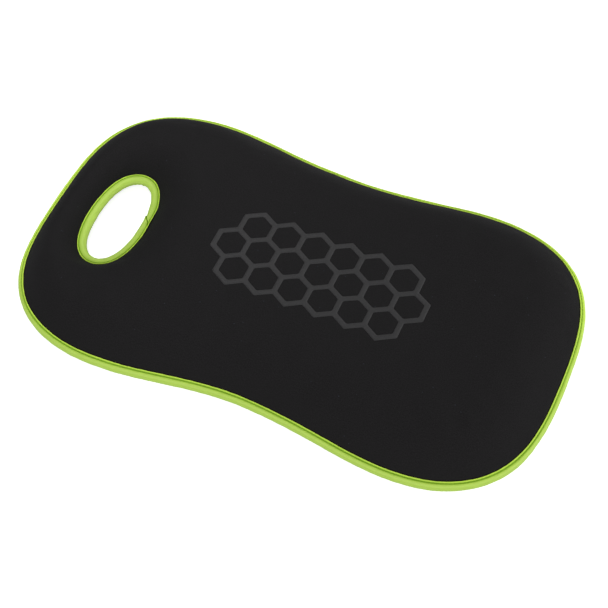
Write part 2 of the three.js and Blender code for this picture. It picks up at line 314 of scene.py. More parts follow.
def dome_height(xy, inset, margin):
    """Both slopes, each as a depth below the flat, join smoothly where they meet."""
    at_edge = np.maximum(PLATEAU - edge_section.height(longer(inset, xy)), 0)
    at_hole = np.maximum(PLATEAU - hole_section.height(margin), 0)
    depth = (at_edge ** JOIN_POWER + at_hole ** JOIN_POWER) ** (1 / JOIN_POWER)
    return PLATEAU - depth + crown(xy, inset, margin)


# ---------------------------------------------------------------- meshes

def make_object(name, verts, faces):
    mesh = bpy.data.meshes.new(name)
    mesh.from_pydata((np.asarray(verts, float) / 1000).tolist(), [], [list(f) for f in faces])
    mesh.validate()
    mesh.polygons.foreach_set("use_smooth", [True] * len(mesh.polygons))
    mesh.update()
    obj = bpy.data.objects.new(name, mesh)
    bpy.context.scene.collection.objects.link(obj)
    return obj


def add_vector(obj, name, values):
    values = np.asarray(values, np.float32)
    attribute = obj.data.attributes.new(name, "FLOAT_VECTOR", "POINT")
    attribute.data.foreach_set("vector", values.ravel())


def triples(*parts):
    """Three arrays of [station, profile], each stretched to full size, as one list of vectors."""
    return np.stack(np.broadcast_arrays(*parts), -1).reshape(-1, 3)


def with_z(xy, z):
    return np.concatenate([xy, z[..., None]], -1)


def vertex_normals(verts, tris):
    first, second, third = (verts[tris[:, k]] for k in range(3))
    face = np.cross(second - first, third - first)
    normal = np.zeros_like(verts)
    for k in range(3):
        np.add.at(normal, tris[:, k], face)
    return normal / np.maximum(np.linalg.norm(normal, axis=1), 1e-12)[:, None]


def boundary_loops(tris):
    """Directed boundary edges of a triangle list, chained into loops."""
    edges = np.concatenate([tris[:, [0, 1]], tris[:, [1, 2]], tris[:, [2, 0]]])
    have = set(map(tuple, edges.tolist()))
    follow = {i: j for i, j in have if (j, i) not in have}
    loops = []
    while follow:
        start, current = next(iter(follow.items()))
        loop = [start]
        del follow[start]
        while current != start:
            loop.append(current)
            current = follow.pop(current)
        loops.append(loop)
    return loops


def closed_shell(outer, inner, tris):
    """Outer skin, inner skin facing the other way, and a rim along every boundary."""
    count = len(outer)
    faces = [tuple(tri) for tri in tris.tolist()]
    faces += [(i + count, k + count, j + count) for i, j, k in tris.tolist()]
    for loop in boundary_loops(tris):
        for i, j in zip(loop, loop[1:] + loop[:1]):
            faces.append((j, i, i + count, j + count))
    return np.concatenate([outer, inner]), faces


def band(first, rows, count):
    """Triangles between closed rings of count points, each nearer the pad's middle than the last."""
    i = np.arange(count)
    j = (i + 1) % count
    tris = []
    for row in range(rows - 1):
        here = first + row * count
        above = here + count
        tris.append(np.stack([here + i, here + j, above + j], 1))
        tris.append(np.stack([here + i, above + j, above + i], 1))
    return np.concatenate(tris)


def inside(loop, points):
    loop = np.array(loop)
    x, y = points[:, 0], points[:, 1]
    hit = np.zeros(len(points), bool)
    for (x0, y0), (x1, y1) in zip(loop, np.roll(loop, -1, 0)):
        if y0 == y1:
            continue
        hit ^= ((y0 > y) != (y1 > y)) & (x < (x1 - x0) * (y - y0) / (y1 - y0) + x0)
    return hit


def between(loops, points):
    """Whether points are inside the first loop and outside all the others."""
    keep = inside(loops[0], points)
    for loop in loops[1:]:
        keep &= ~inside(loop, points)
    return keep


def thin(points, fixed, gap):
    """Points that keep a gap to the fixed ones and to those already kept."""
    cells = {}

    def near(point):
        column, row = int(point[0] // gap), int(point[1] // gap)
        for i in (column - 1, column, column + 1):
            for j in (row - 1, row, row + 1):
                for x, y in cells.get((i, j), ()):
                    if (x - point[0]) ** 2 + (y - point[1]) ** 2 < gap * gap:
                        return True
        return False

    def put(point):
        cells.setdefault((int(point[0] // gap), int(point[1] // gap)), []).append(point)

    for point in fixed:
        put(point)
    kept = []
    for point in points:
        if not near(point):
            put(point)
            kept.append(point)
    return np.array(kept)


def double_areas(points, tris):
    """Twice each triangle's area, negative where it faces down."""
    side = points[tris[:, 1]] - points[tris[:, 0]]
    other = points[tris[:, 2]] - points[tris[:, 0]]
    return side[:, 0] * other[:, 1] - side[:, 1] * other[:, 0]


def facing_up(points, tris):
    down = double_areas(points, tris) < 0
    tris[down] = tris[down][:, ::-1]
    return tris


def triangulate(loops, filling):
    """Points and upward triangles inside the first loop and outside the others."""
    points = np.concatenate([*loops, filling])
    edges, first = [], 0
    for loop in loops:
        count = len(loop)
        edges += [(first + i, first + (i + 1) % count) for i in range(count)]
        first += count
    result = delaunay_2d_cdt([Vector(q) for q in points.tolist()], edges, [], 0, 1e-6, True)
    source = np.array([origin[0] for origin in result[3]])
    tris = source[np.array([list(face) for face in result[2]])]
    tris = tris[between(loops, points[tris].mean(1))]
    return points, facing_up(points, tris)


def loose_points(outline, inward, edge_last, hole_last, grid, step):
    """Points between the two bands: offset rings near both edges, then a jittered even grid."""
    every = max(1, round(step * len(outline) / plan.length))
    by_edge, inset = [], edge_last + step
    while inset < 30:
        by_edge.append((outline + inward * inset)[::every])
        inset += step
    by_hole, margin = [], hole_last + step
    while margin < 29:
        length = hole.line(margin)[1][-1]
        by_hole.append(hole.point(hole.spaced(int(length / step), margin), margin))
        margin += step
    by_edge, by_hole = np.concatenate(by_edge), np.concatenate(by_hole)
    inset, _ = plan.inset(by_edge)
    margin, _ = hole.locate(by_edge)
    by_edge = by_edge[margin > np.maximum(hole_last + step * 0.7, inset - 2)]
    inset, _ = plan.inset(by_hole)
    margin, _ = hole.locate(by_hole)
    by_hole = by_hole[inset > np.maximum(edge_last + step * 0.7, margin - 2)]

    columns = np.arange(-240, 240, grid)
    rows = np.arange(-140, 140, grid * math.sqrt(3) / 2)
    even = np.array([[x + (grid / 2 if k % 2 else 0), y] for k, y in enumerate(rows)
                     for x in columns])
    even = even + RNG.uniform(-0.08, 0.08, even.shape) * grid
    inset, _ = plan.inset(even)
    margin, _ = hole.locate(even)
    clear = (inset > edge_last + step * 0.8) & (margin > hole_last + step * 0.8)
    even = even[clear & (inset > 28) & (margin > 27)]
    return np.concatenate([by_edge, by_hole, even])


def pad_sheet(edge_rows, hole_rows, edge_count, hole_count, grid, step):
    """Triangulated plan of the pad, less its hole: rings near both edges, an even grid inside.

    Gives points, triangles facing +z, inset, margin, angle round the hole and inward normal."""
    outline, inward = plan.along(np.arange(edge_count) * plan.length / edge_count)
    rings = [outline + inward * inset for inset in edge_rows]
    angle = hole.spaced(hole_count, 8)
    holes = [hole.point(angle, margin) for margin in hole_rows]
    structured = np.concatenate(rings + holes)
    start = len(edge_rows) * edge_count

    loops = [rings[-1], holes[-1]]
    loose = loose_points(outline, inward, edge_rows[-1], hole_rows[-1], grid, step)
    filling = thin(loose, np.concatenate(loops), step * 0.62)
    _, middle = triangulate(loops, filling)
    index = np.concatenate([
        (len(edge_rows) - 1) * edge_count + np.arange(edge_count),
        start + (len(hole_rows) - 1) * hole_count + np.arange(hole_count),
        len(structured) + np.arange(len(filling)),
    ])
    xy = np.concatenate([structured, filling])
    tris = facing_up(xy, np.concatenate([
        band(0, len(edge_rows), edge_count),
        band(start, len(hole_rows), hole_count)[:, ::-1],
        index[middle],
    ]))
    inset, inward = plan.inset(xy)
    margin, angle = hole.locate(xy)
    # The structured rows know their own distance exactly.
    for k, value in enumerate(edge_rows):
        inset[k * edge_count:(k + 1) * edge_count] = value
    for k, value in enumerate(hole_rows):
        margin[start + k * hole_count:start + (k + 1) * hole_count] = value
    return xy, tris, inset, margin, angle, inward


def cloth_coordinates(xy, inset, margin, angle, inward):
    """Flat pattern coordinates: the cloth on the shoulders measured along the cloth."""
    edge_slack = edge_section.slack(inset) * (inset < edge_section.end)
    flat = xy - inward * edge_slack[:, None]
    by_hole = (margin < hole_section.end) & (margin < inset)
    hole_slack = hole_section.slack(margin) * by_hole
    flat = flat - hole.outward(angle, margin) * hole_slack[:, None]
    return with_z(flat, np.zeros(len(flat)))


# ---------------------------------------------------------------- top cover

COVER_EDGE_ROWS = [2.1, 3.2, 4.0, 4.35, 4.55, 4.7, 4.8, 4.88, 4.98, 5.12, 5.35, 5.7, 6.2, 6.9,
                   7.8, 8.9]
COVER_HOLE_ROWS = [3.2, 5.2, 6.6, 7.2, 7.5, 7.68, 7.8, 7.9, 8.0, 8.15, 8.4, 8.8, 9.4, 10.2, 11.2]
CLOTH_FRAMES = 20
CLOTH_CAP = 1.1                   # furthest the cloth may move

# Folds near the hole: plan line, height (negative is a valley), width, length of the fading ends.
FOLDS = [
    # Where the cover is drawn together at the hole's +y end.
    ([[-153.5, 47.5], [-156.0, 53.0], [-158.5, 60.0], [-160.0, 70.0], [-160.0, 82.0]],
     -0.85, 4.2, 11.0),
    ([[-153.0, 46.0], [-144.0, 38.0], [-137.5, 27.0], [-135.0, 15.0]], -0.35, 4.0, 9.0),
    ([[-166.0, 52.5], [-171.0, 62.0], [-173.0, 74.0], [-171.0, 88.0]], 0.65, 6.0, 12.0),
    # Where it gathers along the rim beside the hole.
    ([[-216.6, -15.3], [-206.0, -11.5], [-198.0, -9.0]], -0.42, 1.5, 4.0),
    ([[-214.3, -9.6], [-205.5, -6.0], [-199.0, -3.6]], -0.34, 1.3, 3.5),
    ([[-213.0, 2.4], [-204.0, 6.0], [-196.5, 8.4]], -0.46, 1.6, 4.0),
    ([[-212.0, 13.0], [-203.0, 16.5], [-196.5, 18.6]], -0.36, 1.5, 3.5),
    ([[-207.0, 31.0], [-199.0, 33.0]], -0.22, 1.6, 3.0),
    ([[-214.5, -31.0], [-206.0, -29.5]], -0.20, 1.6, 3.0),
]
FOLDS_END_X = -110                # no fold reaches past here


def fold(xy, line, height, width, ends, step=0.5):
    """A soft ridge or valley along a plan line, fading out at both ends."""
    line = resample(line, step)
    square = ((xy[:, None] - line[None]) ** 2).sum(2)
    at, reach = square.argmin(1) * step, (len(line) - 1) * step
    fade = smoothstep(-0.01, ends, at) * smoothstep(-0.01, ends, reach - at)
    return height * np.exp(-square.min(1) / width ** 2) * fade


def cover_height(xy, inset, margin):
    """The dome with the small relief of the stretched cover on it."""
    relief = 0.22 * waves(xy, length=70, seed=3) + 0.10 * waves(xy, length=26, seed=4)
    relief *= smoothstep(5, 22, inset) * smoothstep(8.5, 22, margin)
    near = xy[:, 0] < FOLDS_END_X
    part = sum(fold(xy[near], *entry) for entry in FOLDS)
    fade = smoothstep(8.0, 10.5, margin[near]) * smoothstep(4.9, 6.4, inset[near])
    relief[near] += part * fade
    return dome_height(xy, inset, margin) + relief


def simulate_cover():
    """The cover as cloth, sewn down along both tapes and pushed out by the foam under it.

    Gives the coarse sheet it is worked out on, at rest, and how far each of its points moves."""
    xy, tris, inset, margin, _, _ = pad_sheet(
        [5.0, 8.0, 12.0], [8.2, 11.0, 14.5], edge_count=200, hole_count=60, grid=7.0, step=6.0)
    rest = with_z(xy, cover_height(xy, inset, margin))
    work = make_object("cover_cloth_work", rest, tris.tolist())
    sewn = work.vertex_groups.new(name="sewn")
    sewn.add([int(i) for i in np.nonzero((inset < 5.5) | (margin < 8.7))[0]], 1.0, "REPLACE")
    cloth = work.modifiers.new("cloth", "CLOTH")
    settings = cloth.settings
    settings.quality = 6
    settings.mass = 0.25
    settings.tension_stiffness = settings.compression_stiffness = 12
    settings.shear_stiffness = 6
    settings.bending_stiffness = 0.8
    settings.vertex_group_mass = "sewn"
    settings.use_pressure = True
    settings.uniform_pressure_force = 4
    settings.effector_weights.gravity = 0
    cloth.collision_settings.use_collision = False
    cloth.point_cache.frame_start, cloth.point_cache.frame_end = 1, CLOTH_FRAMES
    scene = bpy.context.scene
    for frame in range(1, CLOTH_FRAMES + 1):
        scene.frame_set(frame)
    final = work.evaluated_get(bpy.context.evaluated_depsgraph_get()).to_mesh()
    moved = np.empty(len(rest) * 3)
    final.vertices.foreach_get("co", moved)
    mesh = work.data
    bpy.data.objects.remove(work, do_unlink=True)
    bpy.data.meshes.remove(mesh)
    scene.frame_set(1)
    return rest, tris, moved.reshape(-1, 3) * 1000 - rest


def carried(points, rest, tris, move):
    """The coarse sheet's movement at other points on it, none further than the cap."""
    far = np.linalg.norm(move, axis=1)[:, None]
    move = move * np.tanh(far / CLOTH_CAP) * CLOTH_CAP / np.maximum(far, 1e-9)
    tree = BVHTree.FromPolygons(rest.tolist(), tris.tolist())
    axes = Vector((1, 0, 0)), Vector((0, 1, 0)), Vector((0, 0, 1))
    result = np.zeros_like(points)
    for i, point in enumerate(points):
        at, _, face, _ = tree.find_nearest(Vector(point))
        corners = tris[face]
        weights = barycentric_transform(at, *(Vector(rest[k]) for k in corners), *axes)
        result[i] = sum(weight * move[k] for weight, k in zip(weights, corners))
    return result


def top_cover():
    """The cover, with search trees of its outside and its lining."""
    xy, tris, inset, margin, angle, inward = pad_sheet(
        COVER_EDGE_ROWS, COVER_HOLE_ROWS, edge_count=632, hole_count=168, grid=2.3, step=1.8)
    outer = with_z(xy, cover_height(xy, inset, margin))
    free = smoothstep(5.0, 10.0, inset) * smoothstep(8.2, 13.0, margin)
    outer = outer + carried(outer, *simulate_cover()) * free[:, None]
    inner = outer - vertex_normals(outer, tris) * COVER_THICK
    obj = make_object("top_cover_cloth", *closed_shell(outer, inner, tris))
    weave = cloth_coordinates(xy, inset, margin, angle, inward)
    add_vector(obj, "weave", np.concatenate([weave, weave]))
    return obj, *(BVHTree.FromPolygons(skin.tolist(), tris.tolist()) for skin in (outer, inner))


cover, cover_tree, lining_tree = top_cover()


def height_on(tree, xy):
    """Height of the cover's outside, or its lining, over points in the plane."""
    heights = []
    for x, y in xy:
        hit = tree.ray_cast(Vector((x, y, 100)), Vector((0, 0, -1)))
        heights.append(hit[0].z if hit[0] else PLATEAU)
    return np.array(heights)


# ---------------------------------------------------------------- swept pieces

def sweep(points, closed=True):
    """Faces of a grid of points [station, profile]; the profile always closes on itself."""
    rows, count = points.shape[:2]
    i, j = np.meshgrid(np.arange(rows), np.arange(count), indexing="ij")
    i2, j2 = (i + 1) % rows, (j + 1) % count
    quads = np.stack([i * count + j, i2 * count + j, i2 * count + j2, i * count + j2], -1)
    if not closed:
        quads = quads[:-1]
    return quads.reshape(-1, 4)


def section_loop(profile, step, coarser):
    """A folded tape's closed cross-section from its outside line.

    Gives its points, their share along the width, and 1 for outside or 0 for inside."""
    line = resample(rounded(profile, sigma=0.22), step)
    tangent = np.gradient(line, axis=0)
    tangent /= np.linalg.norm(tangent, axis=1)[:, None]
    side = np.stack([-tangent[:, 1], tangent[:, 0]], 1)
    within = resample(line + side * TAPE_THICK, step * coarser)[1:-1]
    outer_share = np.linspace(0, 1, len(line))
    inner_share = np.linspace(0, 1, len(within) + 2)[1:-1]
    return (np.concatenate([line, within[::-1]]), np.concatenate([outer_share, inner_share[::-1]]),
            np.concatenate([np.ones(len(line)), np.zeros(len(within))]))


# --- edge tape

# Its outside line from the upper lip over the roll to the lower lip: [inset, z].
EDGE_TAPE = [
    [4.25, 9.75], [4.6, 9.95], [4.7, 10.4], [4.52, 10.75], [4.15, 10.85], [3.8, 10.7],
    [3.5, 10.25], [3.2, 9.92], [2.85, 9.82], [2.4, 9.95], [2.0, 10.0], [1.5, 9.75], [0.9, 9.1],
    [0.35, 8.1], [0.05, 6.9], [0.0, 5.4], [0.08, 3.9], [0.45, 2.6], [1.15, 1.6], [2.1, 1.15],
    [2.9, 1.2], [3.5, 1.55], [4.0, 1.35], [4.5, 1.0], [5.1, 1.0], [5.35, 1.4], [5.1, 1.85],
]
EDGE_MIDDLE_Z = 6                 # parts the tape's upper half from its lower
EDGE_STITCHES = int(round(plan.length / EDGE_STITCH))


def edge_tape_strip():
    loop, width, outside = section_loop(EDGE_TAPE, step=0.55, coarser=2.2)
    length, stations = plan.length, EDGE_STITCHES * 4
    arc = np.arange(stations) * length / stations
    outline, inward = plan.along(arc)
    arc = arc[:, None]
    phase = np.cos(TAU * arc * EDGE_STITCHES / length)
    inset, z = np.tile(loop[:, 0], (stations, 1)), np.tile(loop[:, 1], (stations, 1))

    # The seams lie in grooves that are deepest at the needle holes.
    top_groove = bell(inset - 3.0, 0.62) * (z > EDGE_MIDDLE_Z)
    low_groove = bell(inset - 3.5, 0.8) * (z <= EDGE_MIDDLE_Z)
    z = z + (low_groove * 0.22 - top_groove * 0.28) * (0.5 + 0.5 * phase)
    lip = smoothstep(3.5, 4.15, inset) * (z > EDGE_MIDDLE_Z)
    roll = 1 - smoothstep(0.5, 3.5, inset)
    inset = inset + lip * wobble(arc, length, (0.06, 40, 11), (0.035, 12, 12))
    z = z + lip * wobble(arc, length, (0.08, 55, 13), (0.04, 9, 14))
    inset = inset + roll * (wobble(arc, length, (0.10, 60, 15), (0.05, 14, 16)) + 0.035 * phase)
    # Two faint ridges of the folded hems along the roll.
    inset = inset - roll * (0.10 * bell(z - 7.6, 0.55) + 0.07 * bell(z - 4.4, 0.6))
    inset = np.maximum(inset, 0.0)

    points = with_z(outline[:, None, :] + inward[:, None, :] * inset[..., None], z)
    obj = make_object("edge_binding_tape", points.reshape(-1, 3), sweep(points))
    obj.data.flip_normals()  # so that its faces look outward
    tape_width = arc_lengths(np.array(EDGE_TAPE))[-1]
    add_vector(obj, "weave", triples(arc, width * tape_width, outside))
    # Painted shade: the grooves are darkened, most along the -y side. Painted highlight: the lip,
    # and the tape's upper part along the +y side, are lightened.
    painted_shade_side = smoothstep(-0.1, 0.75, -inward @ np.array([0.41, -0.91]))[:, None]
    painted_highlight = 1 - smoothstep(-0.35, 0.5, -inward @ np.array([0.25, -0.97]))[:, None]
    painted_highlight = np.maximum(lip, 0.75 * painted_highlight * smoothstep(6.5, 8.5, z))
    groove_shade = (top_groove + low_groove) * (0.08 + 0.92 * painted_shade_side)
    add_vector(obj, "groove_shade", triples(groove_shade, painted_highlight, roll))
    return obj


edge_tape = edge_tape_strip()

# --- hole tape, one strip whose two ends overlap

# Its outside line from the lip on top over the roll into the opening to the lip below: [margin, z].
RING_TAPE = [
    [7.1, 10.95], [7.6, 11.15], [7.74, 11.55], [7.55, 11.9], [7.25, 12.0], [6.95, 11.85],
    [6.7, 11.5], [6.4, 11.38], [6.05, 11.5], [5.5, 11.75], [4.7, 11.9], [3.6, 11.75],
    [2.5, 11.35], [1.4, 10.65], [0.55, 9.75], [0.08, 8.7], [0.1, 7.7], [0.55, 6.75], [1.4, 6.1],
    [2.6, 5.75], [4.2, 5.65], [5.3, 5.8], [5.8, 6.05], [6.3, 5.8], [7.0, 5.5], [7.55, 5.6],
    [7.7, 6.05], [7.4, 6.4],
]
RING_CORE, RING_MIDDLE_Z = 4.2, 8.7   # margin and height of the tape's core
RING_CLOTH = 21                       # width of the tape laid flat
RING_LINE = 4.0                       # margin of the line its length is measured on
RING_ANGLES, RING_ARC = hole.line(RING_LINE)
RING_LENGTH = RING_ARC[-1]
RING_STITCHES = int(round(RING_LENGTH / RING_STITCH))
JOINT = np.interp(math.radians(1.4), RING_ANGLES, RING_ARC)  # where the tape's ends meet
LAP = 13.0                            # length of the overlap


def ring_angle(arc):
    return np.interp(np.mod(arc, RING_LENGTH), RING_ARC, RING_ANGLES)


def ring_line(arc, margin):
    """Plan points beside the hole, at arc lengths along the tape and margins across it."""
    angle = ring_angle(arc)
    across = hole.outward(angle, RING_LINE) * (margin - RING_LINE)[..., None]
    return hole.point(angle, RING_LINE) + across


def drawn_in(arc, margin):
    """Beside the joint the outer line is pulled nearly straight, and stands out just past it."""
    away = wrapped(arc - JOINT - 5.5, RING_LENGTH)
    shift = -0.8 * bell(away, 9.0) + 0.4 * bell(away - 15.5, 6.0)
    return margin + shift * smoothstep(4.5, 7.2, margin)


def end_cap(first, outer_count, count, flip):
    """One end of the strip, closed with triangles between its outside and its inside."""
    inner_count = count - outer_count
    faces, i, j = [], 0, 0
    while i < outer_count - 1 or j < inner_count - 1:
        within = count - 1 - j
        outer_next = i < outer_count - 1 and (i + 1) / outer_count <= (j + 1) / inner_count
        if j >= inner_count - 1 or outer_next:
            face = (i, i + 1, within)
            i += 1
        else:
            face = (i, within - 1, within)
            j += 1
        face = tuple(first + k for k in face)
        faces.append(face[::-1] if flip else face)
    return faces


def ring_tape_strip():
    loop, width, outside = section_loop(RING_TAPE, step=0.36, coarser=1.6)
    stations = int(RING_LENGTH / 0.55)
    lap_start, lap_end = JOINT - LAP / 2, JOINT + LAP / 2
    station = np.linspace(lap_start, lap_end + RING_LENGTH, stations)[:, None]
    # The upper end is cut on the bias: across the width the cut runs along the tape.
    trail = smoothstep(lap_start + RING_LENGTH - 14, lap_end + RING_LENGTH, station)
    slant = (0.275 - np.abs(width - 0.55)) * 27
    arc = station + trail * slant
    angle = ring_angle(arc)
    margin, z = np.tile(loop[:, 0], (stations, 1)), np.tile(loop[:, 1], (stations, 1))

    dip = 0.5 + 0.5 * np.cos(TAU * arc * RING_STITCHES / RING_LENGTH)
    top_groove = bell(margin - 6.45, 0.5) * (z > RING_MIDDLE_Z)
    low_groove = bell(margin - 5.8, 0.7) * (z <= RING_MIDDLE_Z)
    z = z - top_groove * dip * 0.25 + low_groove * dip * 0.2
    lip = smoothstep(6.8, 7.25, margin) * (z > RING_MIDDLE_Z)
    wall = 1 - smoothstep(0.3, 3.2, margin)
    margin = margin + lip * wobble(arc, RING_LENGTH, (0.05, 30, 21), (0.03, 9, 22))
    z = z + lip * wobble(arc, RING_LENGTH, (0.07, 24, 23))
    # The tape bunches where it turns round the opening's two tight ends, at +y and -y.
    tight = (0.26 * bell(wrapped(angle - math.pi / 2, TAU), math.sqrt(0.42))
             if False else 0.26 * np.exp(-(wrapped(angle - math.pi / 2, TAU) / 0.42) ** 2))
    tight = tight + 0.12 * bell(wrapped(angle + math.pi / 2, TAU), 0.35)
    bunch = np.sin(TAU * arc / 4.1 + 0.9 * np.sin(TAU * arc / 23)) * tight
    uneven = wobble(arc, RING_LENGTH, (0.10, 45, 24), (0.05, 12, 25))
    margin = np.maximum(margin + wall * (bunch + uneven), 0.0)

    # The upper layer of the overlap is lifted away from the tape's core.
    away, rise = (margin - RING_CORE) / 4.2, (z - RING_MIDDLE_Z) / 3.2
    reach = np.sqrt(away ** 2 + rise ** 2) + 1e-9
    lift_end = lap_start + RING_LENGTH
    lift = smoothstep(lift_end - 8, lift_end - 1, arc)
    turned_in = 1 - smoothstep(0.4, 3.0, margin)
    under = 1 - smoothstep(lap_end + 6, lap_end + 14, arc)
    margin = (margin + away / reach * lift * (0.55 - 0.3 * turned_in)
              + 0.6 * turned_in * under)
    z = z + rise / reach * lift
    margin = drawn_in(arc, margin)

    points = with_z(ring_line(arc, margin), z)
    count, outer_count = len(loop), int(outside.sum())
    faces = [tuple(face) for face in sweep(points, closed=False).tolist()]
    faces += end_cap(0, outer_count, count, flip=False)
    faces += end_cap((stations - 1) * count, outer_count, count, flip=True)
    obj = make_object("handle_binding_tape", points.reshape(-1, 3), faces)
    add_vector(obj, "weave", triples(arc, width * RING_CLOTH, outside))
    # Painted shadow along the cut end and along the line where it lies on the layer below. The
    # grooves carry painted shade and the lip a painted highlight.
    painted_end_shadow = bell(station[-1] - station, 0.8) + bell(arc - lap_end - slant - 0.5, 0.8)
    add_vector(obj, "groove_shade", triples(top_groove + low_groove + 0.9 * painted_end_shadow, lip, wall))
    return obj


ring_tape = ring_tape_strip()


# ---------------------------------------------------------------- sewing threads

def tube(path, radius, sides=7):
    """Rings of points round a closed path."""
    tangent = np.roll(path, -1, 0) - np.roll(path, 1, 0)
    tangent /= np.linalg.norm(tangent, axis=1)[:, None]
    side = np.cross(tangent, [0.0, 0.0, 1.0])
    side /= np.linalg.norm(side, axis=1)[:, None]
    up = np.cross(side, tangent)
    angle = (np.arange(sides) * TAU / sides)[None, :, None]
    return path[:, None] + radius * (np.cos(angle) * side[:, None] + np.sin(angle) * up[:, None])


def stitch_height(arc, pitch):
    """Height of the thread's centre over the cloth; it dips into the hole at each stitch end."""
    from_hole = np.abs(np.mod(arc / pitch + 0.5, 1) - 0.5) * pitch
    return THREAD_RADIUS * 0.75 - THREAD_RADIUS * 3.0 * bell(from_hole, 0.42)


def edge_seam(arc, inset):
    outline, inward = plan.along(arc)
    inset = inset + wobble(arc, plan.length, (0.10, 90, 31))
    return outline + inward * inset[:, None]


def ring_seam(arc, margin):
    return ring_line(arc, drawn_in(arc, margin))


def thread(name, seam, offset, z, side):
    line, length, count = seam
    samples = count * 12
    arc = np.arange(samples) * length / samples
    height = z + side * stitch_height(arc, length / count)
    rings = tube(with_z(line(arc, offset), height), THREAD_RADIUS)
    obj = make_object(name, rings.reshape(-1, 3), sweep(rings))
    sides = rings.shape[1]
    add_vector(obj, "weave", triples(arc[:, None], np.arange(sides) / sides, 0.0))
    return obj


EDGE_SEAM = edge_seam, plan.length, EDGE_STITCHES
RING_SEAM = ring_seam, RING_LENGTH, RING_STITCHES
threads = {
    name: thread(name + "_stitches", seam, offset, z, side)
    # Seam, its inset or margin, the cloth's height, and 1 on the top or -1 underneath.
    for name, seam, offset, z, side in (
        ("edge_needle", EDGE_SEAM, 2.95, 9.86, 1),
        ("edge_bobbin", EDGE_SEAM, 3.5, 1.58, -1),
        ("handle_needle", RING_SEAM, 6.4, 11.42, 1),
        ("handle_bobbin", RING_SEAM, 5.8, 6.05, -1),
    )
}

# ---------------------------------------------------------------- base cover

BASE_EDGE_ROWS = [2.1, 3.6, 5.0, 5.8, 6.3, 6.8, 7.3, 7.9, 8.6, 9.4, 10.4]
BASE_HOLE_ROWS = [3.2, 5.5, 7.4, 8.4, 9.0, 9.7, 10.5, 11.4, 12.4, 13.4, 14.6, 15.8]
# Underside by the outline and by the hole: [inset or margin, z].
BASE_AT_EDGE = [[2.1, 3.9], [5.9, 3.9], [6.6, 3.3], [7.9, 0.75], [10.6, 0.0], [30, 0.0]]
BASE_AT_HOLE = [[3.2, 6.8], [8.7, 6.8], [9.5, 6.2], [12.2, 1.0], [15.7, 0.0], [34, 0.0]]


def base_cover():
    xy, tris, inset, margin, _, _ = pad_sheet(
        BASE_EDGE_ROWS, BASE_HOLE_ROWS, edge_count=420, hole_count=120, grid=3.6, step=3.0)
    at_edge = np.interp(inset, *rounded(BASE_AT_EDGE, sigma=0.5).T)
    at_hole = np.interp(margin, *rounded(BASE_AT_HOLE, sigma=0.6).T)
    uneven = np.maximum(0, 0.10 * waves(xy, length=45, seed=41) + 0.10)
    uneven = uneven * smoothstep(12, 22, inset) * smoothstep(17, 26, margin)
    lower = with_z(xy, np.maximum(at_edge, at_hole) + uneven)
    upper = lower + vertex_normals(lower, tris) * BASE_THICK
    obj = make_object("base_cover_cloth", *closed_shell(upper, lower, tris))
    weave = with_z(xy, np.zeros(len(xy)))
    add_vector(obj, "weave", np.concatenate([weave, weave]))
    return obj


base = base_cover()


# ---------------------------------------------------------------- foams

def foam_block(name, skins, edge_rows, hole_rows):
    """A foam layer between the two heights its skins function gives, closed down its sides."""
    xy, tris, inset, margin, _, _ = pad_sheet(
        edge_rows, hole_rows, edge_count=420, hole_count=120, grid=4.5, step=3.4)
    low, high = skins(inset, margin, height_on(lining_tree, xy))
    verts, faces = closed_shell(with_z(xy, high), with_z(xy, low), tris)
    obj = make_object(name, verts, faces)
    add_vector(obj, "weave", verts)
    return obj


def comfort_skins(_inset, _margin, lining):
    return np.full(len(lining), 15.5), np.maximum(lining - 0.35, 15.9)


def base_skins(inset, margin, lining):
    at_edge = np.interp(inset, [7.4, 9.6, 12.4, 16], [9.2, 6.2, 2.3, 2.2])
    at_hole = np.interp(margin, [10.8, 14.3, 17.2, 20], [9.2, 3.4, 2.3, 2.2])
    return np.maximum(at_edge, at_hole), np.minimum(lining - 0.4, 15.2)


comfort = foam_block("comfort_foam_block", comfort_skins,
                     edge_rows=[12.4, 12.8, 13.5, 14.4, 15.6, 17.2],
                     hole_rows=[14.6, 15.0, 15.8, 16.8, 18.4])
base_foam = foam_block("base_foam_block", base_skins,
                       edge_rows=[9.4, 9.8, 10.4, 11.2, 12.2, 13.4, 15.0],
                       hole_rows=[11.7, 12.1, 12.8, 13.9, 15.2, 17.0])

# ---------------------------------------------------------------- honeycomb print

CELL, LINE = 25.5, 4.4            # cell pitch and width of the printed lines
OUTER_FILLET, CELL_FILLET = 1.6, 2.2
PRINT_X = (PRINT_LO[0] + PRINT_HI[0]) / 2
ROW_PITCH = CELL * math.sqrt(3) / 2
CELLS = [(PRINT_X + (i - (count - 1) / 2) * CELL, row * ROW_PITCH)
         for row, count in ((-1, 6), (0, 7), (1, 6)) for i in range(count)]
FILM_GRID_X, FILM_GRID_Y = 1.7, 1.5
FILM_LOW, FILM_RIM, FILM_TOP = 0.03, 0.10, 0.17   # heights over the cover


def hexagon(x, y, across):
    radius = across / math.sqrt(3)
    angles = [math.pi / 6 + k * math.pi / 3 for k in range(6)]
    return [(x + radius * math.cos(a), y + radius * math.sin(a)) for a in angles]


def unit(vector):
    return vector / np.linalg.norm(vector)


